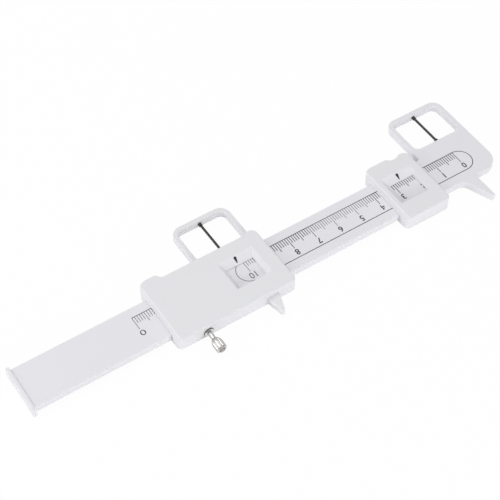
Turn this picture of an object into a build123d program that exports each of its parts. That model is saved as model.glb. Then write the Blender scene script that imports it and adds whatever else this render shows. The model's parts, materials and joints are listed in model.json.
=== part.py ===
"""Pupillary distance ruler: a flat plastic rule with a fixed sighting frame and tooth at one end, a large
locking slider with a second frame and tooth, and a small slider for one eye's distance from the nose.

Millimetres. X runs along the rule towards the fixed frame, Y points to the frames and Z up to the printed
face. The pieces are drawn with X = 0 at the scale's zero, where the fixed hairline stands, Y = 0 on the
rule's centre line and Z = 0 on its back face. Before export they are all moved together, so that the origin
lies under the middle of the whole ruler, on the surface that it lies on.
"""
from build123d import *
import os

# The rule
rule_width = 18.6
rule_thickness = 3.0
rule_tail = 194.5           # from the scale's zero to the free end
head_corner = 7.0           # radius of the rounded corner beside the fixed tooth
rule_edge = 0.25            # softened edges of the moulding

# Sighting frames, one on the rule and a slightly narrower one on the large slider
fixed_frame_width = 26.2
slider_frame_width = 24.9
frame_reach = 32.4          # from the centre line to a frame's far side
frame_bar = 2.15            # material round an opening
slider_frame_bar = 1.9      # the same at the sides of the slider's frame
frame_corner = 4.5
opening_corner = 2.6
opening_clear = 0.3         # from the sliders' far side to the near side of an opening
frame_root = 1.0            # fillet where a frame leaves the rule

# Measuring teeth, placed from the hairline beside them
fixed_tooth_offset = 0.6    # to its straight outer side
fixed_tooth_reach = 21.3    # from the centre line to the tip
fixed_tooth_tip = 1.4
fixed_tooth_waist = 6.2     # width at the rule, before the curve into it
fixed_tooth_curve = 4.0
tooth_fillet = 1.2
slider_tooth_offset = 0.9   # to its left side at the root
slider_tooth_lean = 1.6     # how far that side leans over by the tip
slider_tooth_reach = 22.1
slider_tooth_tip = 1.2
slider_tooth_root = 5.4

# Hairlines
wire_diameter = 1.0
ferrule_diameter = 1.5
ferrule_length = 2.4
ferrule_seat = 1.2          # the part of a ferrule that is inside the frame
fit_gap = 0.02              # glued and pressed pieces

# End stop
stop_thickness = 1.4
stop_width = 21.0
stop_above = 0.35           # above the rule's printed face
stop_edge = 0.35
tongue_width = 12.0
tongue_thickness = 1.4
tongue_length = 5.0
tongue_end_room = 0.2

# Sliders
merge = 2.0                 # how far a shape runs on into the one that it joins or cuts
slide_gap = 0.1             # running gap between a slider and the rule, on every side
floor_thickness = 1.0
cover_thickness = 2.3
slider_width = 29.0         # near side to the ears, about the rule's centre line
far_step = 0.9              # the far side between the ears stands this much nearer than the near side
ear_slope = 1.8             # length of the slope from an ear down to the far side
ear_bend = 1.5
slider_reading = 102.6
slider_frame_offset = 0.45  # the moving frame and its hairline stand this far left of the reading
slider_left = 36.8          # from its reading to its left end
slider_right = 14.1
slider_left_ear = 8.0       # an ear's length, and how far it rises beyond the far side
slider_left_rise = 2.2
slider_right_ear = 3.8
slider_right_rise = 0.9
cursor_reading = 26.3
cursor_left = 10.9
cursor_right = 10.1
cursor_left_ear = 11.4
cursor_left_rise = 1.5
cursor_right_ear = 3.6
cursor_right_rise = 0.9
end_slope = 0.9             # the covers' ends lean in by this
left_ear_corner = 4.0
right_ear_corner = 2.5
near_corner = 2.0
body_edge = 0.35            # bevels round the floor and round the top
cover_edge = 0.35

# Reading windows
slider_window_left = 6.8    # from the pointer's reading to the window's left side, at the top
slider_window_right = 8.5
slider_window_lean = (1.9, 1.65)    # how far its left and right sides lean in
cursor_window_left = 8.0
cursor_window_right = 6.85
cursor_window_lean = (2.8, 0.9)
window_near = 6.5
window_far = 7.6
window_slope = 0.6          # a window's near side leans in by this
scale_half_width = 5.1      # the printed scale's top line
lip_over = 0.95             # how far the pointer lip reaches over the scale's top line
lip_thickness = 0.3

# Cover screws and locating pegs
screw_line = 11.9           # from the centre line to the screws
screw_diameter = 1.8
screw_head = 3.0
screw_head_depth = 0.9
screw_into_cover = 1.5
screw_gap = 0.05
slot_width = 0.5
slot_depth = 0.4
slider_screw_inset = 3.4    # from the slider's ends
locator_diameter = 2.0
locator_length = 1.4
slider_locator = -3.0       # from the slider's reading
cursor_locator = 7.4

# Leaf springs
spring_thickness = 0.25
spring_height = 2.0
spring_pocket = 1.3
slider_spring_length = 20.0
slider_spring_place = -16.6 # from the slider's reading
cursor_spring_length = 11.0
cursor_spring_place = -1.5
spring_end_room = 0.4
spring_touch = 0.05         # left between the bow and the rule's edge

# Gib and lock screw
gib_thickness = 0.8
gib_length = 20.0
gib_height = 2.6
gib_gap = 0.1
lock_place = -24.4          # from the slider's reading
thread_diameter = 1.9
thread_gap = 0.05
lock_tip_gap = 0.1          # from the screw's tip to the gib when it is slack
bush_barrel = 2.8
bush_flange = 4.1
bush_flange_thickness = 0.5
bush_flange_edge = 0.17
screw_shown = 3.3           # from the bush to the knob when the screw is slack
knob_diameter = 4.2
knob_root = 2.4
knob_swell = 2.4            # length of the swell from the root to the full diameter
knob_length = 5.5
knob_end_bevel = 0.4
knob_bore_depth = 4.0
spigot_end_room = 0.2
knurl_count = 16
knurl_depth = 0.25

# Levels and edges that several pieces share
rule_half = rule_width / 2
rule_top = rule_thickness
seam = rule_top + slide_gap                     # where the covers sit on the channels
cover_top = seam + cover_thickness
floor_top = -slide_gap
floor_bottom = floor_top - floor_thickness
slider_half = slider_width / 2
far_side = slider_half - far_step
channel_half = rule_half + slide_gap
opening_near = far_side + opening_clear
opening_far = frame_reach - frame_bar
fixed_opening_width = fixed_frame_width - 2 * frame_bar
slider_opening_width = slider_frame_width - 2 * slider_frame_bar
wire_level = rule_thickness / 2
lip_tip = scale_half_width - lip_over
knob_start = -slider_half - bush_flange_thickness - screw_shown
on_base = (Align.CENTER, Align.CENTER, Align.MIN)    # a round bar that stands on its lower end

# The middle of the whole ruler as drawn, and the level that it lies on
middle_x = (fixed_frame_width / 2 - rule_tail - stop_thickness) / 2
middle_y = (frame_reach + knob_start - knob_length) / 2
to_origin = Pos(-middle_x, -middle_y, -floor_bottom)


def box_between(x0, x1, y0, y1, z0, z1):
    """A plain block from its two corners."""
    return Pos((x0 + x1) / 2, (y0 + y1) / 2, (z0 + z1) / 2) * Box(x1 - x0, y1 - y0, z1 - z0)


def plate(outline, z0, z1):
    """An outline in the XY plane, made a plate from z0 to z1."""
    return Pos(0, 0, z0) * extrude(outline, z1 - z0)


def rod_y(x, z, radius, y0, y1):
    """A round bar along Y."""
    return Pos(x, y1, z) * Rot(90, 0, 0) * Cylinder(radius, y1 - y0, align=on_base)


def round_corners(outline, radius, *points):
    """Round the corners of a flat outline that lie at the given points."""
    corners = [v for v in outline.vertices()
               if any(abs(v.X - x) < 0.01 and abs(v.Y - y) < 0.01 for x, y in points)]
    return fillet(corners, radius)


def level_edges(solid, z):
    """The edges that lie wholly at one level."""
    return [e for e in solid.edges()
            if max(abs(e.bounding_box().min.Z - z), abs(e.bounding_box().max.Z - z)) < 0.01]


def frame_outline(x, width, y_root):
    """A sighting frame's outside, from y_root out to its rounded far corners."""
    half = width / 2
    far_corners = [(x + half, frame_reach), (x - half, frame_reach)]
    outline = Polygon((x - half, y_root), (x + half, y_root), *far_corners, align=None)
    return round_corners(outline, frame_corner, *far_corners)


def frame_opening(x, width):
    """The hole that the eye is sighted through."""
    middle = (opening_near + opening_far) / 2
    return Pos(x, middle) * RectangleRounded(width, opening_far - opening_near, opening_corner)


def wire_seats(x):
    """The holes for a hairline's ferrules in the two sides of a frame's opening."""
    radius = ferrule_diameter / 2 + fit_gap
    return rod_y(x, wire_level, radius, opening_near - ferrule_seat, opening_far + ferrule_seat)


def sight_wire(x):
    """A hairline, from inside one side of the frame to inside the other."""
    start, end = opening_near - ferrule_seat + fit_gap, opening_far + ferrule_seat - fit_gap
    return rod_y(x, wire_level, wire_diameter / 2, start, end)


def wire_ferrules(x):
    """The two sleeves that hold a hairline where it enters the frame."""
    start, end = opening_near - ferrule_seat + fit_gap, opening_far + ferrule_seat - fit_gap
    near = rod_y(x, wire_level, ferrule_diameter / 2, start, start + ferrule_length)
    far = rod_y(x, wire_level, ferrule_diameter / 2, end - ferrule_length, end)
    bore = rod_y(x, wire_level, wire_diameter / 2 + fit_gap, start - 1, end + 1)
    return Compound(children=[near - bore, far - bore])


def main_rule():
    """The rule with its head, fixed frame and fixed tooth, moulded in one piece."""
    half = fixed_frame_width / 2
    edge = fixed_tooth_offset
    waist = edge - fixed_tooth_waist
    tooth = [(waist, -rule_half), (edge - fixed_tooth_tip, -fixed_tooth_reach), (edge, -fixed_tooth_reach),
             (edge, -rule_half)]
    outline = Polygon((-rule_tail, -rule_half), *tooth, (half, -rule_half), (half, frame_reach),
                      (-half, frame_reach), (-half, rule_half), (-rule_tail, rule_half), align=None)
    outline = round_corners(outline, fixed_tooth_curve, (waist, -rule_half))
    outline = round_corners(outline, tooth_fillet, (edge, -rule_half))
    outline = round_corners(outline, head_corner, (half, -rule_half))
    outline = round_corners(outline, frame_corner, (half, frame_reach), (-half, frame_reach))
    outline = round_corners(outline, frame_root, (-half, rule_half))
    solid = plate(outline - frame_opening(0, fixed_opening_width), 0, rule_thickness)
    solid = chamfer(level_edges(solid, rule_top), rule_edge)
    solid -= wire_seats(0)
    half, height = tongue_width / 2 + fit_gap, tongue_thickness / 2 + fit_gap
    slot = box_between(-rule_tail, -rule_tail + tongue_length, -half, half, wire_level - height,
                       wire_level + height)
    return solid - slot


def end_stop():
    """The plate across the rule's free end, on a tongue that is glued into the rule."""
    block = box_between(-rule_tail - stop_thickness, -rule_tail, -stop_width / 2, stop_width / 2,
                        floor_bottom, rule_top + stop_above)
    outer = [e for e in block.edges() if e.center().X < -rule_tail - stop_thickness / 2 + 0.01]
    block = chamfer(outer, stop_edge)
    half, height = tongue_width / 2, tongue_thickness / 2
    tongue = box_between(-rule_tail - stop_thickness / 2, -rule_tail + tongue_length - tongue_end_room,
                         -half, half, wire_level - height, wire_level + height)
    return block + tongue


def slider_outline(x, left, right, left_ear, left_rise, right_ear, right_rise):
    """A slider seen from above: rounded ends, and a far side that dips between two ears."""
    x0, x1 = x - left, x + right
    left_reach, right_reach = far_side + left_rise, far_side + right_rise
    ear_ends = [(x1 - right_ear, right_reach), (x1 - right_ear - ear_slope, far_side),
                (x0 + left_ear + ear_slope, far_side), (x0 + left_ear, left_reach)]
    outline = Polygon((x0, -slider_half), (x1, -slider_half), (x1, right_reach), *ear_ends, (x0, left_reach),
                      align=None)
    for place in ear_ends:
        outline = round_corners(outline, ear_bend, place)
    outline = round_corners(outline, left_ear_corner, (x0, left_reach))
    outline = round_corners(outline, right_ear_corner, (x1, right_reach))
    return round_corners(outline, near_corner, (x0, -slider_half), (x1, -slider_half))


def channel(outline, x0, x1):
    """A slider's lower half: a floor under the rule and a wall along each edge."""
    solid = plate(outline, floor_bottom, seam)
    solid = chamfer(level_edges(solid, floor_bottom), body_edge)
    return solid - box_between(x0 - 1, x1 + 1, -channel_half, channel_half, floor_top, seam + 1)


def level_box(x0, x1, y0, y1, z):
    """A level rectangle from its two corners."""
    return Pos((x0 + x1) / 2, (y0 + y1) / 2, z) * Rectangle(x1 - x0, y1 - y0)


def cover(outline, left, right, lean, x0, x1):
    """A slider's top plate, with leaning ends and a window from left to right. The window's sides lean in
    towards the scale, and its far side is the pointer lip."""
    solid = plate(outline, seam, cover_top)
    for end, inward in ((x0, 1), (x1, -1)):
        wedge = Polygon((end, seam), (end + inward * end_slope, cover_top), (end - inward, cover_top),
                        (end - inward, seam), align=None)
        solid -= Pos(0, slider_width, 0) * Rot(90, 0, 0) * extrude(wedge, 2 * slider_width)
    solid = chamfer(level_edges(solid, cover_top), cover_edge)
    lean_left, lean_right = lean
    bottom = level_box(left + lean_left, right - lean_right, window_slope - window_near, lip_tip,
                       seam + lip_thickness)
    top = level_box(left, right, -window_near, window_far, cover_top)
    window = loft([bottom, top], ruled=True)
    below = Pos(0, 0, -lip_thickness - 1) * extrude(bottom, lip_thickness + 1.01)
    return solid - window - below


def screw_holes(x, y):
    """The hole for one cover screw: head seat and clearance in the channel, thread in the cover."""
    height = seam - floor_bottom + screw_into_cover
    radius = screw_diameter / 2 + screw_gap
    shank = Cylinder(radius, height, align=on_base)
    seat = Cone(screw_head / 2 + screw_gap, radius, screw_head_depth, align=on_base)
    return Pos(x, y, floor_bottom) * (shank + seat)


def cover_screw(x, y):
    """A small countersunk screw with a slotted head, put in from below."""
    height = seam - floor_bottom + screw_into_cover - 0.1
    shank = Cylinder(screw_diameter / 2, height, align=on_base)
    head = Cone(screw_head / 2, screw_diameter / 2, screw_head_depth, align=on_base)
    slot = Box(screw_head + 1, slot_width, 2 * slot_depth)
    return Pos(x, y, floor_bottom) * (shank + head - slot)


def locators(x):
    """The two pegs under a cover that place it on its channel."""
    peg = Cylinder(locator_diameter / 2, locator_length, align=on_base)
    return [Pos(x, y, seam - locator_length) * peg for y in (-screw_line, screw_line)]


def locator_holes(x):
    """The holes for those pegs in the channel's walls."""
    hole = Cylinder(locator_diameter / 2 + fit_gap, locator_length + 0.2, align=on_base)
    return [Pos(x, y, seam - locator_length - 0.1) * hole for y in (-screw_line, screw_line)]


def spring_room(x, length):
    """The pocket for a leaf spring in a channel's far wall."""
    half = length / 2 + spring_end_room
    return box_between(x - half, x + half, channel_half - 0.01, channel_half + spring_pocket, floor_top, seam)


def leaf_spring(x, length):
    """A strip bowed towards the rule: its ends rest in the pocket, its middle rides on the rule's edge."""
    half = length / 2
    inner = rule_half + spring_touch
    outer = channel_half + spring_pocket - spring_thickness - fit_gap
    near_arc = ThreePointArc((x - half, outer), (x, inner), (x + half, outer))
    far_arc = ThreePointArc((x + half, outer + spring_thickness), (x, inner + spring_thickness),
                            (x - half, outer + spring_thickness))
    ends = [Line(near_arc @ 1, far_arc @ 0), Line(far_arc @ 1, near_arc @ 0)]
    strip = make_face([near_arc, ends[0], far_arc, ends[1]])
    return plate(strip, wire_level - spring_height / 2, wire_level + spring_height / 2)


def gib_room():
    """The pocket for the gib in the large slider's near wall."""
    half = gib_length / 2 + gib_gap
    x = -slider_reading + lock_place
    return box_between(x - half, x + half, -channel_half - gib_thickness - gib_gap, -channel_half + 0.01,
                       floor_top, seam)


def slider_gib():
    """The strip between the lock screw and the rule's edge."""
    x = -slider_reading + lock_place
    half = gib_length / 2
    strip = box_between(x - half, x + half, -channel_half - gib_thickness, -channel_half,
                        wire_level - gib_height / 2, wire_level + gib_height / 2)
    ends = [e for e in strip.edges().filter_by(Axis.Z) if e.center().Y > -channel_half - gib_thickness / 2]
    return chamfer(ends, gib_thickness / 3)


def slider_screw_places():
    """Where the large slider's four cover screws go."""
    x0 = -slider_reading - slider_left + slider_screw_inset
    x1 = -slider_reading + slider_right - slider_screw_inset
    return [(x, y) for x in (x0, x1) for y in (-screw_line, screw_line)]


def cursor_screw_places():
    """Where the small slider's two cover screws go."""
    return [(-cursor_reading, y) for y in (-screw_line, screw_line)]


def slider_plan():
    """The large slider's outline."""
    return slider_outline(-slider_reading, slider_left, slider_right, slider_left_ear, slider_left_rise,
                          slider_right_ear, slider_right_rise)


def cursor_plan():
    """The small slider's outline."""
    return slider_outline(-cursor_reading, cursor_left, cursor_right, cursor_left_ear, cursor_left_rise,
                          cursor_right_ear, cursor_right_rise)


def slider_body():
    """The large slider's channel, moulded with the moving frame and the moving tooth."""
    x = -slider_reading
    solid = channel(slider_plan(), x - slider_left, x + slider_right)
    middle = x - slider_frame_offset
    frame = frame_outline(middle, slider_frame_width, channel_half + merge)
    frame = plate(frame - frame_opening(middle, slider_opening_width), 0, rule_thickness)
    solid += chamfer([e for e in level_edges(frame, rule_top) if e.center().Y > far_side], rule_edge)
    edge = x + slider_tooth_offset
    root = edge + slider_tooth_root
    tip = edge + slider_tooth_lean
    tooth = Polygon((edge, -slider_half + merge), (edge, -slider_half), (tip, -slider_tooth_reach),
                    (tip + slider_tooth_tip, -slider_tooth_reach), (root, -slider_half),
                    (root, -slider_half + merge), align=None)
    tooth = plate(tooth, 0, rule_thickness)
    solid += chamfer([e for e in level_edges(tooth, rule_top) if e.center().Y < -slider_half], rule_edge)
    solid -= wire_seats(middle)
    solid -= spring_room(x + slider_spring_place, slider_spring_length)
    solid -= gib_room()
    bush_hole = rod_y(x + lock_place, wire_level, bush_barrel / 2 + fit_gap, -slider_half - 1, -channel_half)
    solid -= bush_hole
    for place in slider_screw_places():
        solid -= screw_holes(*place)
    for hole in locator_holes(x + slider_locator):
        solid -= hole
    return solid


def slider_cover():
    """The large slider's top plate."""
    x = -slider_reading
    solid = cover(slider_plan(), x - slider_window_left, x + slider_window_right, slider_window_lean,
                  x - slider_left, x + slider_right)
    for place in slider_screw_places():
        solid -= screw_holes(*place)
    for peg in locators(x + slider_locator):
        solid += peg
    return solid


def cursor_body():
    """The small slider's channel."""
    x = -cursor_reading
    solid = channel(cursor_plan(), x - cursor_left, x + cursor_right)
    solid -= spring_room(x + cursor_spring_place, cursor_spring_length)
    for place in cursor_screw_places():
        solid -= screw_holes(*place)
    for hole in locator_holes(x + cursor_locator):
        solid -= hole
    return solid


def cursor_cover():
    """The small slider's top plate."""
    x = -cursor_reading
    solid = cover(cursor_plan(), x - cursor_window_left, x + cursor_window_right, cursor_window_lean,
                  x - cursor_left, x + cursor_right)
    for place in cursor_screw_places():
        solid -= screw_holes(*place)
    for peg in locators(x + cursor_locator):
        solid += peg
    return solid


def lock_bush():
    """The flanged metal bush that the lock screw runs in."""
    x = -slider_reading + lock_place
    inner = -channel_half - gib_thickness - gib_gap
    barrel = rod_y(x, wire_level, bush_barrel / 2, -slider_half, inner)
    flange = rod_y(x, wire_level, bush_flange / 2, -slider_half - bush_flange_thickness, -slider_half)
    rim = [e for e in flange.edges() if e.center().Y < -slider_half - bush_flange_thickness / 2]
    flange = chamfer(rim, bush_flange_edge)
    bore = rod_y(x, wire_level, thread_diameter / 2 + thread_gap, knob_start, inner + merge)
    return barrel + flange - bore


def lock_screw():
    """The screw, from just short of the gib, out through the bush and into the knob's bore."""
    x = -slider_reading + lock_place
    tip = -channel_half - gib_thickness - lock_tip_gap
    return rod_y(x, wire_level, thread_diameter / 2, knob_start - knob_bore_depth + spigot_end_room, tip)


def lock_knob():
    """The knurled head: a turned body that swells from the neck, with straight grooves."""
    root, full, length = knob_root / 2, knob_diameter / 2, knob_length
    shoulder = (root + 0.7 * (full - root), 0.45 * knob_swell)
    profile = Polygon((0, 0), (root, 0), shoulder, (full, knob_swell), (full, length - knob_end_bevel),
                      (full - knob_end_bevel, length), (0, length), align=None)
    solid = revolve(Plane.XZ * profile, Axis.Z)
    side = knurl_depth * 2 ** 0.5
    groove = Pos(full, 0, knob_swell * 0.6) * Rot(0, 0, 45) * Box(side, side, length, align=on_base)
    for turn in range(knurl_count):
        solid -= Rot(0, 0, 360 * turn / knurl_count) * groove
    solid -= Cylinder(thread_diameter / 2 + fit_gap, knob_bore_depth, align=on_base)
    return Pos(-slider_reading + lock_place, knob_start, wire_level) * Rot(90, 0, 0) * solid


def build():
    """Every piece, by node name."""
    x, c = -slider_reading, -cursor_reading
    return {
        "main_rule": main_rule(),
        "end_stop": end_stop(),
        "fixed_sight_wire": sight_wire(0),
        "fixed_wire_ferrules": wire_ferrules(0),
        "slider_body": slider_body(),
        "slider_cover": slider_cover(),
        "slider_cover_screws": Compound(children=[cover_screw(*place) for place in slider_screw_places()]),
        "slider_sight_wire": sight_wire(x - slider_frame_offset),
        "slider_wire_ferrules": wire_ferrules(x - slider_frame_offset),
        "slider_gib": slider_gib(),
        "slider_spring": leaf_spring(x + slider_spring_place, slider_spring_length),
        "lock_bush": lock_bush(),
        "lock_screw": lock_screw(),
        "lock_knob": lock_knob(),
        "cursor_body": cursor_body(),
        "cursor_cover": cursor_cover(),
        "cursor_cover_screws": Compound(children=[cover_screw(*place) for place in cursor_screw_places()]),
        "cursor_spring": leaf_spring(c + cursor_spring_place, cursor_spring_length),
    }


os.makedirs("parts", exist_ok=True)
for name, piece in build().items():
    solids = [to_origin * solid for solid in piece.solids()]
    piece = solids[0] if len(solids) == 1 else Compound(children=solids)
    export_step(piece, f"parts/{name}.step")
    print(name, round(piece.volume, 1))
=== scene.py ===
# %% [markdown]
# # Pupillary distance ruler
#
# An optician's sliding ruler in white plastic: a rule with a printed scale and a sighting frame, a large
# slider with a second frame and a thumb screw, and a small slider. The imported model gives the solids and
# the bodies that move. This script gives them their finishes, prints the scales, and adds the finer parts.

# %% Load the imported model
import bmesh
import bpy
import json
import math
import numpy as np
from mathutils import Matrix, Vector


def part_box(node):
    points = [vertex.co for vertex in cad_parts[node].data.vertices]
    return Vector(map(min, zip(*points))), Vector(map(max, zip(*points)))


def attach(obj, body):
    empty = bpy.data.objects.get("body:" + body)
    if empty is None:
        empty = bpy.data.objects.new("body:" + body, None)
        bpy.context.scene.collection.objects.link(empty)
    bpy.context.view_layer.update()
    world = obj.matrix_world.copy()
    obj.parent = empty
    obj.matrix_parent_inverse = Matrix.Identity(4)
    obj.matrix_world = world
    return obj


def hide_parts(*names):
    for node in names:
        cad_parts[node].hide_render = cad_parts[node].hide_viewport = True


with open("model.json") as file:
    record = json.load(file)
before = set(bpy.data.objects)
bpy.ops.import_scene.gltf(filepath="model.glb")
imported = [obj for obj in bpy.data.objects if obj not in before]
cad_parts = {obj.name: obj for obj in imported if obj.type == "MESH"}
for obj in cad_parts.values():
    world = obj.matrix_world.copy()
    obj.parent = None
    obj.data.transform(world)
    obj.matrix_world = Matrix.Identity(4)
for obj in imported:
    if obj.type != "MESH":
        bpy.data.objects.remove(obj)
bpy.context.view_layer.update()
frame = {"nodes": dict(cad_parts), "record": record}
nodes = frame["nodes"]

# %% [markdown]
# ## Places and the camera
#
# Sizes are in millimetres here, because a ruler is drawn in them, and Blender gets metres. The drawing has
# its zero at the scale's zero, on the rule's centre line, at the rule's back face. The frame has its
# origin under the middle of the whole ruler, so every point is moved over by the same step.

# %% From the drawing's millimetres to the frame's metres
ruler_middle = np.array([-91.4, 4.3, -1.1])
face = 3.0                 # level of the rule's printed face


def metres(points):
    """Points of the drawing, in millimetres, as the frame's metres: minus the ruler's middle, over 1000."""
    return (np.asarray(points, float) - ruler_middle) / 1000


print("scale zero in the frame:", metres([0, 0, 0]))

# %% [markdown]
# The photograph looks down at the ruler from its near left corner with a long lens, so that its edges stay
# almost parallel. The ticks of the printed scale, which are a true 1 mm apart, gave this camera: a point
# that it looks at, the two angles and the distance from there, and the lens.

# %% Camera
aim = metres([-94.54, 7.86, 3.0])
azimuth, elevation = math.radians(-33.31), math.radians(51.45)
distance = 0.5076
back = np.array([math.sin(azimuth) * math.cos(elevation), -math.cos(azimuth) * math.cos(elevation),
                 math.sin(elevation)])
camera = bpy.data.objects.new("camera", bpy.data.cameras.new("camera"))
bpy.context.scene.collection.objects.link(camera)
camera.location = aim + distance * back
camera.rotation_euler = (math.pi / 2 - elevation, 0, azimuth)
camera.data.lens = 97.15
camera.data.sensor_width = 36
camera.data.clip_start = 0.01
bpy.context.scene.camera = camera
print("camera at", camera.location)

# %% [markdown]
# ## The studio
#
# White plastic on white needs soft light that still comes from one side, or the shape disappears. A big
# lamp behind and to the left is the key, and two low ones, in front and at the left, make the upright
# walls lighter than the tops, as in the photograph. The front one is left out of reflections, because the
# tops would carry its glare when they are seen from behind.

# %% Lamps


def lamp(name, place, width, watts):
    """A square lamp at a place in metres, turned so that its light falls on the ruler's middle."""
    light = bpy.data.lights.new(name, "AREA")
    light.size = width
    light.energy = watts
    thing = bpy.data.objects.new(name, light)
    bpy.context.scene.collection.objects.link(thing)
    thing.location = place
    x, y, z = -np.array(place)
    rise = math.atan2(z, math.hypot(x, y))
    thing.rotation_euler = (math.pi / 2 + rise, 0, math.atan2(y, x) - math.pi / 2)
    return thing


lamp("key", (-0.35, 0.45, 0.75), width=0.45, watts=1.6)
front = lamp("front", (0.08, -0.81, 0.235), width=0.42, watts=2.5)
front.visible_glossy = False
lamp("side", (-0.90, 0.18, 0.25), width=0.45, watts=2.1)

# %% [markdown]
# The world and every material are trees of nodes. Two short functions keep them readable: one adds a node
# with values for its inputs, and one joins two sockets.

# %% Node helpers


def add(tree, kind, values=None):
    """A new node in a tree, with values for some of its inputs."""
    node = tree.nodes.new(kind)
    for label, value in (values or {}).items():
        node.inputs[label].default_value = value
    return node


def join(tree, source, target):
    """Link an output socket to an input socket."""
    tree.links.new(source, target)


print("node helpers ready")

# %% [markdown]
# The world is bright overhead and dark near the horizon, like a room beyond the white table. The satin
# plastic takes an even light from it, and the polished screw gets its dark edges.

# %% World
world = bpy.data.worlds.new("studio")
world.use_nodes = True
tree = world.node_tree
background = tree.nodes["Background"]
background.inputs["Strength"].default_value = 0.68
direction = add(tree, "ShaderNodeTexCoord")
split = add(tree, "ShaderNodeSeparateXYZ")
join(tree, direction.outputs["Generated"], split.inputs[0])
height = add(tree, "ShaderNodeMapRange",
             {"From Min": 0.05, "From Max": 0.45, "To Min": 0.10, "To Max": 1.0})
height.interpolation_type = "SMOOTHSTEP"
join(tree, split.outputs["Z"], height.inputs["Value"])
join(tree, height.outputs["Result"], background.inputs["Color"])
bpy.context.scene.world = world
bpy.context.scene.view_settings.view_transform = "Standard"
print("world:", world.name)

# %% [markdown]
# The photograph's ground is pure white, yet a real white table takes a soft shadow. So the floor is a matt
# white that glows a little for the camera and for reflections only: it shows as white there, and the light
# that it sends back to the ruler stays that of a plain table.

# %% Floor's finish
glow_share = 0.96


def node_material(name):
    """A new material with its node tree and its Principled shader."""
    material = bpy.data.materials.new(name)
    material.use_nodes = True
    return material, material.node_tree, material.node_tree.nodes["Principled BSDF"]


floor_material, tree, shader = node_material("studio_floor")
shader.inputs["Base Color"].default_value = (0.97, 0.97, 0.975, 1)
shader.inputs["Roughness"].default_value = 0.9
glow = add(tree, "ShaderNodeEmission", {"Strength": 1.0})
light_path = add(tree, "ShaderNodeLightPath")
either = add(tree, "ShaderNodeMath")
either.operation = "MAXIMUM"
join(tree, light_path.outputs["Is Camera Ray"], either.inputs[0])
join(tree, light_path.outputs["Is Glossy Ray"], either.inputs[1])
share = add(tree, "ShaderNodeMath", {1: glow_share})
share.operation = "MULTIPLY"
join(tree, either.outputs[0], share.inputs[0])
mix = add(tree, "ShaderNodeMixShader")
join(tree, share.outputs[0], mix.inputs[0])
join(tree, shader.outputs[0], mix.inputs[1])
join(tree, glow.outputs[0], mix.inputs[2])
join(tree, mix.outputs[0], tree.nodes["Material Output"].inputs["Surface"])
print("floor finish:", floor_material.name)

# %% [markdown]
# The floor itself is one large square, just under the ruler, so that no faces coincide.

# %% Floor
floor_half, floor_level = 3, -0.0002      # metres
corners = [(x * floor_half, y * floor_half, floor_level) for x, y in ((-1, -1), (1, -1), (1, 1), (-1, 1))]
mesh = bpy.data.meshes.new("studio_floor")
mesh.from_pydata(corners, [], [(0, 1, 2, 3)])
mesh.materials.append(floor_material)
floor = bpy.data.objects.new("studio_floor", mesh)
bpy.context.scene.collection.objects.link(floor)
print("floor:", floor.name)

# %% [markdown]
# ## Finishes
#
# The mouldings are one white plastic with a satin skin. Up close it isn't even: the pigment clouds a
# little, and the skin carries a very fine spark-eroded grain. The metals are uneven in the same two ways,
# so each effect is a node group with its own inputs, built once and placed in every finish. The clouding
# comes first: a broad noise that turns the colour a little towards a darker one.

# %% Clouding


def effect(name, inputs, outputs):
    """A shader node group. Its inputs are given as (name, kind, default) and its outputs as (name, kind)."""
    group = bpy.data.node_groups.new(name, "ShaderNodeTree")
    for label, kind, value in inputs:
        socket = group.interface.new_socket(label, in_out="INPUT", socket_type=kind)
        socket.default_value = value
    for label, kind in outputs:
        group.interface.new_socket(label, in_out="OUTPUT", socket_type=kind)
    return group, group.nodes.new("NodeGroupInput"), group.nodes.new("NodeGroupOutput")


clouding, start, end = effect(
    "clouding",
    [("Colour", "NodeSocketColor", (0.8, 0.8, 0.8, 1)), ("Darker", "NodeSocketColor", (0.7, 0.7, 0.7, 1)),
     ("Amount", "NodeSocketFloat", 0.3)],
    [("Colour", "NodeSocketColor")])
where = add(clouding, "ShaderNodeTexCoord")
broad = add(clouding, "ShaderNodeTexNoise", {"Scale": 45.0, "Detail": 3.0})
join(clouding, where.outputs["Object"], broad.inputs["Vector"])
scaled = add(clouding, "ShaderNodeMath")
scaled.operation = "MULTIPLY"
join(clouding, broad.outputs["Fac"], scaled.inputs[0])
join(clouding, start.outputs["Amount"], scaled.inputs[1])
blend = add(clouding, "ShaderNodeMix")
blend.data_type = "RGBA"
join(clouding, scaled.outputs[0], blend.inputs["Factor"])
join(clouding, start.outputs["Colour"], blend.inputs["A"])
join(clouding, start.outputs["Darker"], blend.inputs["B"])
join(clouding, blend.outputs["Result"], end.inputs["Colour"])
print("clouding group:", len(clouding.nodes), "nodes")

# %% [markdown]
# The grain is a second group. A very fine noise is its height, for the bump. A broader one makes some
# patches smoother than others, as where fingers have polished the skin, and it gives the roughness between
# a low and a high value.

# %% Grain of the skin
grain, start, end = effect(
    "moulded_grain",
    [("Scale", "NodeSocketFloat", 3000.0), ("Low", "NodeSocketFloat", 0.3),
     ("High", "NodeSocketFloat", 0.4)],
    [("Height", "NodeSocketFloat"), ("Roughness", "NodeSocketFloat")])
where = add(grain, "ShaderNodeTexCoord")
fine = add(grain, "ShaderNodeTexNoise", {"Detail": 2.0})
join(grain, where.outputs["Object"], fine.inputs["Vector"])
join(grain, start.outputs["Scale"], fine.inputs["Scale"])
patches = add(grain, "ShaderNodeTexNoise", {"Scale": 120.0, "Detail": 3.0})
join(grain, where.outputs["Object"], patches.inputs["Vector"])
spread = add(grain, "ShaderNodeMapRange")
join(grain, patches.outputs["Fac"], spread.inputs["Value"])
join(grain, start.outputs["Low"], spread.inputs["To Min"])
join(grain, start.outputs["High"], spread.inputs["To Max"])
join(grain, fine.outputs["Fac"], end.inputs["Height"])
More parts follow.
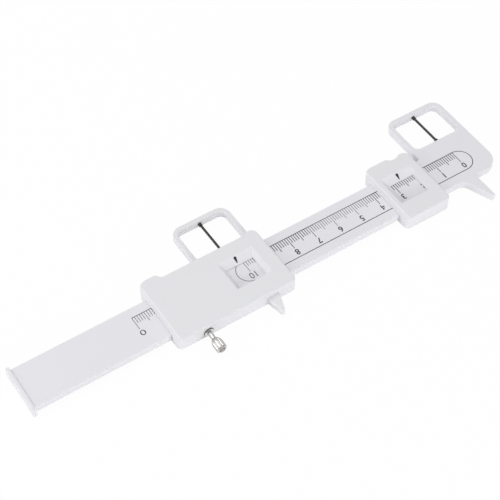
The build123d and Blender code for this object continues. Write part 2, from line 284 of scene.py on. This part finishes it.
join(grain, spread.outputs["Result"], end.inputs["Roughness"])
print("grain group:", len(grain.nodes), "nodes")

# %% [markdown]
# A finish places both groups in a material with its own values. The clouding feeds the colour, and the
# grain feeds the roughness and, through a bump, the way that the surface faces.

# %% A surface that clouds and has a grain


def place_group(tree, group, **values):
    """A group in a material, with its own input values."""
    node = tree.nodes.new("ShaderNodeGroup")
    node.node_tree = group
    for label, value in values.items():
        node.inputs[label].default_value = value
    return node


def surface(name, colour, darker, roughness, amount, grain_scale, strength, depth):
    """A material that clouds from colour to darker by an amount, with a grain of a scale, whose bump has a
    strength and a depth in metres."""
    material, tree, shader = node_material(name)
    cloud = place_group(tree, clouding, Colour=colour, Darker=darker, Amount=amount)
    skin = place_group(tree, grain, Scale=grain_scale, Low=roughness[0], High=roughness[1])
    join(tree, cloud.outputs["Colour"], shader.inputs["Base Color"])
    join(tree, skin.outputs["Roughness"], shader.inputs["Roughness"])
    bump = add(tree, "ShaderNodeBump", {"Strength": strength, "Distance": depth})
    join(tree, skin.outputs["Height"], bump.inputs["Height"])
    join(tree, bump.outputs["Normal"], shader.inputs["Normal"])
    return material, shader


print("surface ready, from", clouding.name, "and", grain.name)

# %% [markdown]
# Plastic shines by its clear skin, which an index of 1.5 gives, and its grain is too fine to see as dents.
# Metal has no skin: its own colour shines, and its grain is coarser. The two differ in nothing else, so
# each is a few lines.

# %% Plastics and metals


def plastic(name, colour, darker, roughness):
    """A satin moulded plastic."""
    material, shader = surface(name, colour, darker, roughness, amount=0.5, grain_scale=7000.0,
                               strength=0.01, depth=0.00001)
    shader.inputs["IOR"].default_value = 1.5
    return material


def metal(name, colour, darker, roughness, grain_scale):
    """A bare or plated metal with slight clouding."""
    material, shader = surface(name, colour, darker, roughness, amount=0.7, grain_scale=grain_scale,
                               strength=0.06, depth=0.00003)
    shader.inputs["Metallic"].default_value = 1.0
    return material


print("plastic and metal ready")

# %% [markdown]
# Each finish is then one line: its colour, the darker colour that it clouds towards, the range of its
# roughness, and for a metal the scale of its grain. The white is cool, as in the photograph, and the
# sliders' white is a little warmer than the rule's, because they are moulded apart. The record says which
# finish each solid takes.

# %% The finishes
nickel, dull_nickel = (0.68, 0.67, 0.66, 1), (0.56, 0.55, 0.54, 1)
finishes = {
    "white_plastic": plastic("rule_plastic", (0.83, 0.825, 0.86, 1), (0.80, 0.795, 0.835, 1),
                             (0.34, 0.44)),
    "slider_plastic": plastic("slider_plastic", (0.825, 0.825, 0.85, 1), (0.795, 0.795, 0.825, 1),
                              (0.34, 0.46)),
    "hairline": plastic("hairline_black", (0.02, 0.02, 0.022, 1), (0.03, 0.03, 0.03, 1), (0.4, 0.5)),
    "nickel_plate": metal("nickel_plate", nickel, dull_nickel, (0.10, 0.22), 1800.0),
    "screw_steel": metal("screw_steel", (0.60, 0.60, 0.62, 1), (0.50, 0.50, 0.52, 1), (0.25, 0.4), 2200.0),
    "spring_steel": metal("spring_steel", (0.40, 0.41, 0.44, 1), (0.30, 0.31, 0.36, 1), (0.2, 0.35), 2400.0),
    "gib_brass": metal("gib_brass", (0.78, 0.58, 0.28, 1), (0.66, 0.47, 0.20, 1), (0.25, 0.4), 2000.0),
}
for part in frame["record"]["subparts"]:
    mesh = nodes[part["node"]].data
    mesh.materials.clear()
    mesh.materials.append(finishes[part["material_slot"]])
print("finishes:", list(finishes))

# %% [markdown]
# The bush that the thumb screw runs in is nickel too. Its flat face is bright, and behind it, down the rim
# and into the bore, it is painted nearly black. This is painted shade, for the shadow in the gap round its
# rim and down the hole. So the finish darkens with the distance from the face, within a tenth of a
# millimetre.

# %% Bush with painted shade on its rim
bush_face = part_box("lock_bush")[0][1]
bright_depth, dark_depth = 0.00004, 0.00014        # metres behind the face
bush_nickel = metal("bush_nickel", nickel, dull_nickel, (0.12, 0.25), 1800.0)
tree = bush_nickel.node_tree
shader = tree.nodes["Principled BSDF"]
nickel_colour = shader.inputs["Base Color"].links[0].from_socket
where = add(tree, "ShaderNodeTexCoord")
split = add(tree, "ShaderNodeSeparateXYZ")
join(tree, where.outputs["Object"], split.inputs[0])
brightness = add(tree, "ShaderNodeMapRange",
                 {"From Min": bush_face + dark_depth, "From Max": bush_face + bright_depth})
join(tree, split.outputs["Y"], brightness.inputs["Value"])
# Painted shade: behind the bright face the nickel turns nearly black, standing in for the shadow in the
# rim's gap and the bore.
painted_shade = add(tree, "ShaderNodeMix")
painted_shade.data_type = "RGBA"
painted_shade.inputs["A"].default_value = (0.10, 0.095, 0.09, 1)
join(tree, brightness.outputs["Result"], painted_shade.inputs["Factor"])
join(tree, nickel_colour, painted_shade.inputs["B"])
join(tree, painted_shade.outputs["Result"], shader.inputs["Base Color"])
nodes["lock_bush"].data.materials[0] = bush_nickel
print("bush finish:", bush_nickel.name)

# %% [markdown]
# ## The printed scales
#
# The scales are pad-printed in black: an outline with round ends, ticks that hang from its far line, and a
# number at every centimetre. An image would need a texture, so the ink is geometry: closed sheets that
# stand 0.02 mm proud, worked out as arrays of blocks and ribbons. Every new piece becomes a mesh in the
# same way, in metres, and rides on a body, so that it goes along when the slider moves.

# %% New pieces from arrays
ink_depth = 0.02           # how far the ink stands up from the plastic
ink_sunk = 0.01            # the sheets start this far under the surface, so that no gap shows


def new_piece(name, points, faces, body, slot, smooth=False):
    """A mesh from arrays of points in the drawing's millimetres and faces, with a slot's finish, riding on
    a body."""
    mesh = bpy.data.meshes.new(name)
    mesh.from_pydata(metres(points).tolist(), [], faces.tolist())
    mesh.polygons.foreach_set("use_smooth", np.full(len(faces), smooth))
    mesh.materials.append(finishes[slot])
    piece = bpy.data.objects.new(name, mesh)
    bpy.context.scene.collection.objects.link(piece)
    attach(piece, body)
    return piece


print("ink stands", ink_depth, "mm proud")

# %% [markdown]
# A tick is a block, and all of them are made at once: each corner takes x, y and z from the block's lowest
# or highest corner, in the eight ways there are.

# %% Blocks


def blocks(low, high):
    """Closed blocks from arrays of their lowest and highest corners."""
    pick = np.array([[0, 0, 0], [1, 0, 0], [1, 1, 0], [0, 1, 0], [0, 0, 1], [1, 0, 1], [1, 1, 1], [0, 1, 1]])
    points = low[:, None] + (high - low)[:, None] * pick
    sides = np.array([[0, 3, 2, 1], [4, 5, 6, 7], [0, 1, 5, 4], [1, 2, 6, 5], [2, 3, 7, 6], [3, 0, 4, 7]])
    faces = sides + 8 * np.arange(len(low))[:, None, None]
    return points.reshape(-1, 3), faces.reshape(-1, 4)


cube = blocks(np.zeros((1, 3)), np.ones((1, 3)))
print("faces of one block:", len(cube[1]))

# %% [markdown]
# A line is a ribbon: a flat tube of four corners to a ring, which may change its width on the way. Its
# corners are numbered counter-clockwise as seen along it, and that makes its faces point outwards.

# %% Faces of a tube


def tube_faces(count, closed):
    """The faces of a tube of so many rings of four corners, with a cap on each end if it is open."""
    steps = np.arange(count if closed else count - 1)
    here, there = 4 * steps, 4 * ((steps + 1) % count)
    faces = [np.stack([here + a, there + a, there + b, here + b], axis=1)
             for a, b in ((0, 1), (1, 2), (2, 3), (3, 0))]
    if not closed:
        last = 4 * (count - 1)
        faces.append(np.array([[0, 1, 2, 3], [last + 3, last + 2, last + 1, last]]))
    return np.concatenate(faces)


print("faces of a straight line:", len(tube_faces(2, False)))

# %% [markdown]
# The ribbon's corners follow a path that is any array of points, so the same few lines make a straight
# line and the outline with its round ends.

# %% Ribbons


def ribbon(path, width, low, high, closed):
    """A flat band along a path in the plane: at each point the across direction is the path's direction
    turned a quarter, and a rectangle of that point's width stands from low to high."""
    along = np.gradient(path, axis=0)
    if closed:
        along = np.roll(path, -1, axis=0) - np.roll(path, 1, axis=0)
    along /= np.linalg.norm(along, axis=1)[:, None]
    across = np.stack([-along[:, 1], along[:, 0]], axis=1) * width[:, None] / 2
    flat = np.stack([path + across, path - across, path - across, path + across], axis=1)
    level = np.broadcast_to(np.array([low, low, high, high]), flat.shape[:2])
    points = np.concatenate([flat, level[..., None]], axis=2).reshape(-1, 3)
    return points, tube_faces(len(path), closed)


print("ribbon ready")

# %% [markdown]
# A scale is printed in one go, so its line and its ticks are one piece. Joining them is only counting:
# each part's faces go on from the points that came before.

# %% Several parts as one piece


def together(*pairs):
    """Several (points, faces) pairs as one, with each pair's faces counted on from the last."""
    starts = np.cumsum([0] + [len(points) for points, faces in pairs[:-1]])
    return (np.concatenate([points for points, faces in pairs]),
            np.concatenate([faces + start for (points, faces), start in zip(pairs, starts)]))


print("faces of two blocks:", len(together(cube, cube)[1]))

# %% [markdown]
# Pad printing is uneven. The pad gave more ink at the right than at the left, and least in the middle,
# where the ticks are thin. One formula for the line's weight and one for the thinning keep this in one
# place.

# %% How bold the print is
bold, light = 0.30, 0.21   # the print is bold at the right and lighter from 9 cm on
light_from = -91.0
fade = 6.0                 # and changes over this length
thin_middle, thin_half = -56.0, 16.0
thin_tick = 0.38           # what the ticks lose in the middle of the scale
thin_line = 0.22           # and what the far line loses there
tick_share = 0.9           # a tick's width as a share of a line's


def weight(x):
    """How wide a printed line is at x: light left of 9 cm and bold right of it, changing evenly between."""
    return light + (bold - light) * np.clip((x - light_from) / fade + 0.5, 0, 1)


def thinning(x):
    """How far the print is thinned at x, from 0 to 1, by half an ellipse over the middle of the scale: the
    root of one minus the square of the distance from the middle over the half length, not below nought."""
    return np.clip(1 - ((x - thin_middle) / thin_half) ** 2, 0, 1) ** 0.5


def tick_width(x):
    """How wide a tick is at x: a share of a line, and less in the middle of the scale."""
    return tick_share * weight(x) * (1 - thin_tick * thinning(x))


print("line widths at 1 cm and 10 cm:", weight(-10.0), weight(-100.0))

# %% [markdown]
# The ticks are 1 mm apart, longer at the fives and longest at the tens. That rule is the whole drawing, so
# the ticks are counted out by it.

# %% Ticks
scale_top = 5.1            # the far line, and the radius of the outline's round ends
one_tick, five_tick, ten_tick = 3.2, 4.5, 5.8
main_count, tail_count = 101, 31     # from 0 to 10 cm, and from 0 to 3 cm


def ticks(zero, count, side):
    """One block for each millimetre from zero towards side, hanging from the far line."""
    number = np.arange(count)
    length = np.where(number % 10 == 0, ten_tick, np.where(number % 5 == 0, five_tick, one_tick))
    x = zero + side * number
    half = tick_width(x) / 2
    low = np.stack([x - half, scale_top - length, np.full(count, face - ink_sunk)], axis=1)
    high = np.stack([x + half, np.full(count, scale_top), np.full(count, face + ink_depth)], axis=1)
    return blocks(low, high)


print("ticks:", main_count + tail_count)

# %% [markdown]
# The main scale is 10 cm long and has a line all round it, with half circles for its ends. The line is one
# closed path: up round the right end, back along the far line, round the left end and home.

# %% Main scale
scale_length = 100
turn = np.linspace(-math.pi / 2, math.pi / 2, 33)
right_end = np.stack([scale_top * np.cos(turn), scale_top * np.sin(turn)], axis=1)
left_end = right_end[::-1] * (-1, 1) - (scale_length, 0)
far_line = np.stack([np.linspace(1 - scale_length, -1, 50), np.full(50, scale_top)], axis=1)
path = np.concatenate([right_end, far_line[::-1], left_end, far_line * (1, -1)])
on_far_line = path[:, 1] > 0.999 * scale_top
width = weight(path[:, 0]) * (1 - thin_line * thinning(path[:, 0]) * on_far_line)
outline = ribbon(path, width, face - ink_sunk, face + ink_depth, True)
points, faces = together(outline, ticks(0, main_count, -1))
new_piece("main_scale", points, faces, "rule", "hairline")
print("main scale:", len(points), "points")

# %% [markdown]
# A second, shorter scale starts near the rule's free end. It has one line, bolder than its ticks, and
# counts the other way, under the large slider. Only its first 8 mm show, so its 3 cm are a guess.

# %% Tail scale
tail_zero = -147.6
tail_width, tail_drop = 0.24, 0.08   # the line's width, and how far it lies inside the ticks' ends
tail_x = tail_zero + np.array([0, tail_count - 1]) + np.array([-0.5, 0.5]) * tail_width
tail_line = np.stack([tail_x, np.full(2, scale_top - tail_drop)], axis=1)
line = ribbon(tail_line, np.full(2, tail_width), face - ink_sunk, face + ink_depth, False)
points, faces = together(line, ticks(tail_zero, tail_count, 1))
new_piece("tail_scale", points, faces, "rule", "hairline")
print("tail scale:", len(points), "points")

# %% [markdown]
# The ruler is read from the frames' side, so the numbers stand upside down in the photograph. Blender's
# own font has their plain round forms. Each number is a text turned into a mesh and scaled to its height
# and width, and its strokes are widened where the print is bold. A text's two sides and its rim come
# apart, so their doubles are merged, and the sheet is closed.

# %% A number
number_line = -2.7         # the middle of the numbers
main_sizes = (2.75, 0.92)  # a number's height, and its width as a share of the font's own
tail_sizes = (2.35, 1.45)
tail_shift = 0.25          # the tail's numbers stand this far right of their ticks
thin_stroke = -0.006       # what widens the strokes where the print is light, in the font's own units
stroke_gain = 0.021        # what it is more where the print is bold
four_share = 0.2           # how much of that the four gets, because its small triangle would fill


def number(value, x, body, sizes):
    """A printed number with its middle at x, upside down, as a thin solid sheet."""
    number_height, widen = sizes
    boldness = float(weight(x) - light) / (bold - light)
    curve = bpy.data.curves.new("number", "FONT")
    curve.body = str(value)
    curve.extrude = 0.005
    curve.resolution_u = 6
    curve.offset = thin_stroke + stroke_gain * boldness * (four_share if value == 4 else 1)
    text = bpy.data.objects.new("number", curve)
    mesh = bpy.data.meshes.new_from_object(text)
    bpy.data.objects.remove(text)
    form = bmesh.new()
    form.from_mesh(mesh)
    bmesh.ops.remove_doubles(form, verts=form.verts, dist=0.00001)
    bmesh.ops.recalc_face_normals(form, faces=form.faces)
    form.to_mesh(mesh)
    form.free()
    points = np.empty(3 * len(mesh.vertices))
    mesh.vertices.foreach_get("co", points)
    points = points.reshape(-1, 3)
    low, high = points.min(axis=0), points.max(axis=0)
    points = (points - (low + high) / 2) * number_height / (high[1] - low[1])
    points[:, :2] = points[:, :2] * (-widen, -1) + (x, number_line)
    points[:, 2] = np.where(points[:, 2] > 0, face + ink_depth, face - ink_sunk)
    mesh.vertices.foreach_set("co", metres(points).ravel())
    mesh.name = f"number_{value}"
    mesh.materials.append(finishes["hairline"])
    piece = bpy.data.objects.new(f"{body}_number_{value}_{int(-x)}", mesh)
    bpy.context.scene.collection.objects.link(piece)
    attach(piece, body)
    return piece


print("number line:", number_line)

# %% [markdown]
# The main scale has a number at every centimetre from 0 to 10. The short one is numbered from the free
# end, and its numbers are lower and wider than the others.

# %% Numbers on both scales
numbers = [number(value, -10.0 * value, "rule", main_sizes) for value in range(11)]
numbers += [number(value, tail_zero + 10.0 * value + tail_shift, "rule", tail_sizes) for value in range(4)]
print("numbers:", [piece.name for piece in numbers])

# %% [markdown]
# Each slider's pointer is a black wedge printed down the bevel behind its window, with its tip near the
# edge of the lip, so that it almost reaches the scale. A bevel is a plane, so the wedge is a thin sheet on
# that plane: a shape along it from tip to base, pushed out along the plane's normal. It isn't printed
# quite straight, so each one leans a little.

# %% Pointers
lip = np.array([4.15, 3.4])          # the bevel's near and far edge, as (y, z)
brow = np.array([7.6, 5.4])
tip_at, reach = 0.18, 0.66           # where the wedge starts on the bevel, and its length, as shares of it
tip_half, widening = 0.16, 0.55      # half the tip's width, and what the wedge gains to its base
base_half, round_from = 0.60, 0.8    # half the width of the rounded end, and the share where that starts


def pointer(name, x, body, lean):
    """A wedge on the bevel. Its half width grows evenly from the tip with the share of its length, up to
    the rounded end, where it is the base's half width times the root of one minus the square of the share
    of that end. Its middle goes over by lean."""
    share = np.linspace(0, 1, 16)
    rounded = 1 - ((share - round_from) / (1 - round_from)) ** 2
    half = np.where(share < round_from, tip_half + widening * share,
                    base_half * np.sqrt(np.clip(rounded, 0.05, 1)))      # never quite down to a point
    place = lip + (brow - lip) * (tip_at + reach * share)[:, None]
    way = (brow - lip) / np.linalg.norm(brow - lip)
    out = np.array([-way[1], way[0]])
    middle = x + lean * share
    edges = [np.column_stack([middle + side * half, place + out * lift])
             for side, lift in ((-1, -ink_sunk), (1, -ink_sunk), (1, ink_depth), (-1, ink_depth))]
    points = np.stack(edges, axis=1).reshape(-1, 3)
    return new_piece(name, points, tube_faces(len(share), False), body, "hairline")


pointers = [pointer("slider_pointer", -102.2, "slider", 0.15),
            pointer("cursor_pointer", -26.5, "cursor", -0.05)]
print("pointers:", [piece.name for piece in pointers])

# %% [markdown]
# ## The thumb screw
#
# The solids have a plain rod for the screw and a simply knurled head. Here the rod gets its real thread,
# and the head gets rounded flutes and a hollow end. Both are turned bodies: rings of points round the
# screw's axis, whose radius is a formula of the place along the axis and of the angle.

# %% Turned bodies
screw_x, screw_z = -127.0, 1.5       # the axis runs along y


def turned(y, radius):
    """A closed body round the screw's axis, from a ring's place on the axis and its radius at each angle
    (rows are rings). A point is at sine of the angle times the radius in x and cosine times it in z. Strips
    across the first and the last ring close the ends."""
    rings, around = radius.shape
    angle = np.linspace(0, 2 * math.pi, around, endpoint=False)
    places = np.broadcast_to(y[:, None], radius.shape)
    points = np.stack([screw_x + radius * np.sin(angle), places, screw_z + radius * np.cos(angle)], axis=2)
    ring, step = np.meshgrid(np.arange(rings - 1) * around, np.arange(around), indexing="ij")
    beside = (step + 1) % around
    side = np.stack([ring + step, ring + beside, ring + around + beside, ring + around + step], axis=2)
    j = np.arange(around // 2 - 1)
    first = np.stack([j + 1, j, around - 1 - j, around - 2 - j], axis=1)
    last = first[:, ::-1] + (rings - 1) * around
    return points.reshape(-1, 3), np.concatenate([side.reshape(-1, 4), first, last])


print("screw's axis in the frame:", metres([screw_x, 0, screw_z]))

# %% [markdown]
# A thread is a groove that moves on by its pitch with each turn. So the groove's depth depends on one
# phase: the share of a turn, minus the place along the axis over the pitch. The phase's distance from the
# groove's middle makes a V, cut off flat at the crest. The neck outside the bush is plain, and both ends
# are chamfered.

# %% Screw thread
pitch = 0.4
gib_end, head_side = -10.35, -22.05  # the rod's ends along y: at the gib, and inside the head
thread_end = -15.4                   # just inside the bush's mouth
crest, groove = 0.94, 0.22           # the rod's radius, and how deep the groove is cut
flank = 1.5                          # how steep the groove's sides are: over 1 leaves a flat crest
tip_radius = 0.55                    # of the chamfered ends
y = np.linspace(head_side, gib_end, 240)
angle = np.linspace(0, 2 * math.pi, 32, endpoint=False)
phase = angle[None, :] / (2 * math.pi) - y[:, None] / pitch
ridge = np.clip(flank * np.abs(2 * (phase % 1) - 1), 0, 1)
threaded = np.clip((y - thread_end) / pitch, 0, 1)[:, None]
from_end = np.minimum(y - head_side, gib_end - y)[:, None]
radius = np.minimum(crest - groove * threaded * (1 - ridge), tip_radius + from_end)
points, faces = turned(y, radius)
thread = new_piece("lock_screw_thread", points, faces, "lock_stud", "nickel_plate", True)
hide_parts("lock_screw")
print("thread faces:", len(faces))

# %% [markdown]
# The head swells from a narrow waist to a belly, and flutes run along it for the fingers. A flute is a
# round groove that starts some way down from the waist. One outline goes all the way through the piece:
# out of the hollow end, over its lip, up the fluted side, and back down the bore that takes the rod.
#
# The side comes first. It swells by a sine from the waist to the belly, and each flute takes a little off
# it. A power under 1 makes both forms fuller than the plain formula.

# %% Fluted side
head_start, head_end = -18.3, -23.8  # its waist and its far end, along y
lip_length = 0.45                    # the rounded lip at the far end
waist, belly, swell_length = 1.2, 0.88, 2.4      # radius, what the belly adds, and how far down it is full
flutes, flute_depth, flute_width = 16, 0.24, 0.55        # a flute's width is a share of their spacing
flute_start = 0.9                    # flutes begin this far from the waist, and are full at twice that
side_y = head_end + lip_length + np.linspace(0, 1, 70) * (head_start - head_end - lip_length)
depth = head_start - side_y
swell = waist + belly * np.sin(math.pi / 2 * np.clip(depth / swell_length, 0, 1)) ** 0.8
angle = np.linspace(0, 2 * math.pi, flutes * 10, endpoint=False)
off_middle = np.abs((angle * flutes / (2 * math.pi)) % 1 - 0.5) * 2
flute = np.clip(1 - off_middle / flute_width, 0, 1) ** 0.7
fluted = np.clip((depth - flute_start) / flute_start, 0, 1)[:, None]
side = swell[:, None] - fluted * flute_depth * flute
print("radius of the side from", side.min(), "to", side.max())

# %% [markdown]
# The hollow end and the bore are plain turned profiles: places along the axis and a radius at each. The
# end's run from the middle of the hollow's floor, out over the lip. The bore's run from the waist inwards.

# %% Head with its hollow end and its bore
bore_depth = 3.9
end_y = head_end + np.array([1.0, 1.0, 0.90, 0.10, 0.02, 0.0, 0.04, 0.16, 0.30])
end_radii = np.array([0.05, 1.05, 1.15, 1.22, 1.28, 1.42, 1.58, 1.72, 1.80])
bore_y = head_start - np.array([0, 0, bore_depth, bore_depth])
bore_radii = np.array([1.12, 0.98, 0.97, 0.05])
end_rings, bore_rings = [np.repeat(radii[:, None], len(angle), axis=1)
                         for radii in (end_radii, bore_radii)]
points, faces = turned(np.concatenate([end_y, side_y, bore_y]),
                       np.concatenate([end_rings, side, bore_rings]))
head = new_piece("lock_knob_fluted", points, faces, "lock_head", "nickel_plate", True)
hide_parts("lock_knob")
print("head faces:", len(faces))
